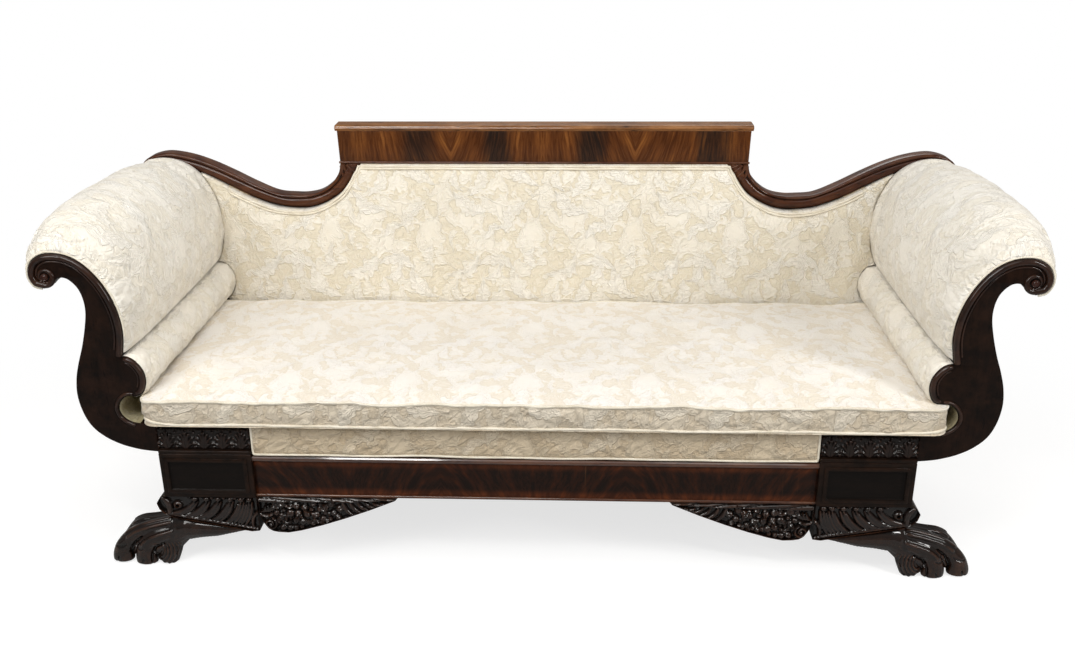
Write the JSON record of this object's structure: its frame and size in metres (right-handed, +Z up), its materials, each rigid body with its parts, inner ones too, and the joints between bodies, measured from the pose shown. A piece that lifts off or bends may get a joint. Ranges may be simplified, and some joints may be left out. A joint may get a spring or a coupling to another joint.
{
  "type": "recamier",
  "caption": "Scroll-arm recamier sofa with serpentine back rails, crest tablet, paw feet, bolstered arms and a loose seat cushion.",
  "frame": {"origin": "centre of the bounding box on the floor, under the middle of the seat", "axes": "+X to the right seen from the front along the width, +Y to the back, +Z up"},
  "size_m": [2.2504, 0.7707, 0.909],
  "materials": {
    "carved_mahogany": "polished, almost black, worn on the carved edges",
    "mahogany": "polished red brown",
    "flame_veneer": "French polished crotch veneer",
    "frame_wood": "bare secondary wood",
    "damask": "cream jacquard with leaf and vine pattern",
    "cord": "sewn cord covered in the same cloth",
    "webbing": "woven jute",
    "cambric": "thin black cloth",
    "screw_steel": "plain steel"
  },
  "bodies": {
    "frame": {"front_leg_left": "carved_mahogany", "front_leg_right": "carved_mahogany", "leg_bracket_left": "carved_mahogany", "leg_bracket_right": "carved_mahogany", "panel_block_left": "carved_mahogany", "panel_block_right": "carved_mahogany", "panel_bead_left": "carved_mahogany", "panel_bead_right": "carved_mahogany", "frieze_block_left": "carved_mahogany", "frieze_block_right": "carved_mahogany", "facing_left": "carved_mahogany", "facing_right": "carved_mahogany", "facing_moulding_left": "carved_mahogany", "facing_moulding_right": "carved_mahogany", "lobe_moulding_left": "carved_mahogany", "lobe_moulding_right": "carved_mahogany", "scroll_boss_left": "carved_mahogany", "scroll_boss_right": "carved_mahogany", "rear_leg_left": "mahogany", "rear_leg_right": "mahogany", "arm_post_left": "mahogany", "arm_post_right": "mahogany", "back_rail_left": "mahogany", "back_rail_right": "mahogany", "crest_cap": "mahogany", "crest_foot_bead": "mahogany", "lower_front_rail": "flame_veneer", "crest_tablet": "flame_veneer", "front_seat_rail": "frame_wood", "rear_seat_rail": "frame_wood", "side_rail_left": "frame_wood", "side_rail_right": "frame_wood", "cross_braces": "frame_wood", "corner_blocks": "frame_wood", "arm_rails_left": "frame_wood", "arm_rails_right": "frame_wood", "back_stiles": "frame_wood", "back_top_rail": "frame_wood", "front_panel": "damask", "arm_pad_left": "damask", "arm_pad_right": "damask", "arm_roll_left": "damask", "arm_roll_right": "damask", "outside_arm_left": "damask", "outside_arm_right": "damask", "back_pad": "damask", "outside_back": "damask", "deck_pad": "damask", "front_panel_cord": "cord", "arm_cord_left": "cord", "arm_cord_right": "cord", "back_gimp": "cord", "seat_webbing": "webbing", "arm_webbing_left": "webbing", "arm_webbing_right": "webbing", "back_webbing": "webbing", "dust_cover": "cambric", "frame_screws": "screw_steel"},
    "cushion": {"seat_cushion": "damask", "cushion_cords": "cord"}
  },
  "joints": [
    {"name": "cushion_slide", "type": "slide", "parent": "frame", "child": "cushion", "axis": [0, -1, 0], "range_m": [0, 0.66]}
  ]
}
